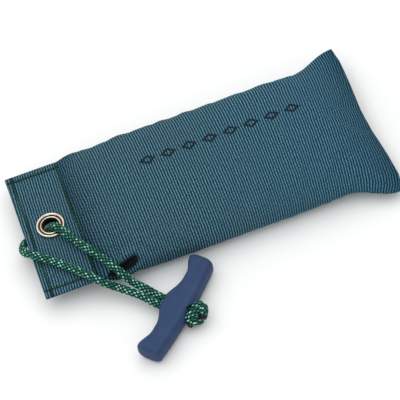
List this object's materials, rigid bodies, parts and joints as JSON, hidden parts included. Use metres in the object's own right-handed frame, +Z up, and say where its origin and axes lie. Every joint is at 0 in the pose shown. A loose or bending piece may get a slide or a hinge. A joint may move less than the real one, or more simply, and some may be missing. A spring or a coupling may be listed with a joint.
{
  "type": "canvas training dummy",
  "caption": "Stuffed canvas retrieving dummy with a flat sewn tab, a rolled metal eyelet, a doubled braided throw cord, a moulded toggle and a stopper knot.",
  "frame": {"origin": "on the surface the bag rests on, under the middle of its length and width", "axes": "+X along the bag from its tab to its end seam, +Y across it away from the toggle, +Z up"},
  "size_m": [0.2885, 0.2059, 0.0392],
  "materials": {
    "canvas": "ribbed teal cotton canvas",
    "liner": "thin waterproof film",
    "fill": "light granulate",
    "thread": "dark green sewing thread",
    "eyelet": "bright plated, rolled rim",
    "cord": "braided, green with pale flecks",
    "toggle": "moulded, smooth, blue-grey"
  },
  "bodies": {
    "bag": {"top_canvas_panel": "canvas", "bottom_canvas_panel": "canvas", "liner_top_sheet": "liner", "liner_bottom_sheet": "liner", "granulate_fill": "fill", "near_side_seam_thread": "thread", "far_side_seam_thread": "thread", "end_seam_thread": "thread", "closing_seam_needle_thread": "thread", "closing_seam_bobbin_thread": "thread", "mouth_hem_needle_thread": "thread", "mouth_hem_bobbin_thread": "thread", "tab_near_edge_needle_thread": "thread", "tab_near_edge_bobbin_thread": "thread", "tab_far_edge_needle_thread": "thread", "tab_far_edge_bobbin_thread": "thread", "eyelet_grommet": "eyelet", "eyelet_washer": "eyelet", "throw_cord": "cord", "stopper_knot": "cord"},
    "toggle": {"toggle": "toggle"}
  },
  "joints": [
    {"name": "toggle_spin", "type": "hinge", "parent": "bag", "child": "toggle", "pos_m": [-0.0522, -0.0994, 0.0087], "axis": [0.682, -0.7314, 0], "continuous": true}
  ]
}
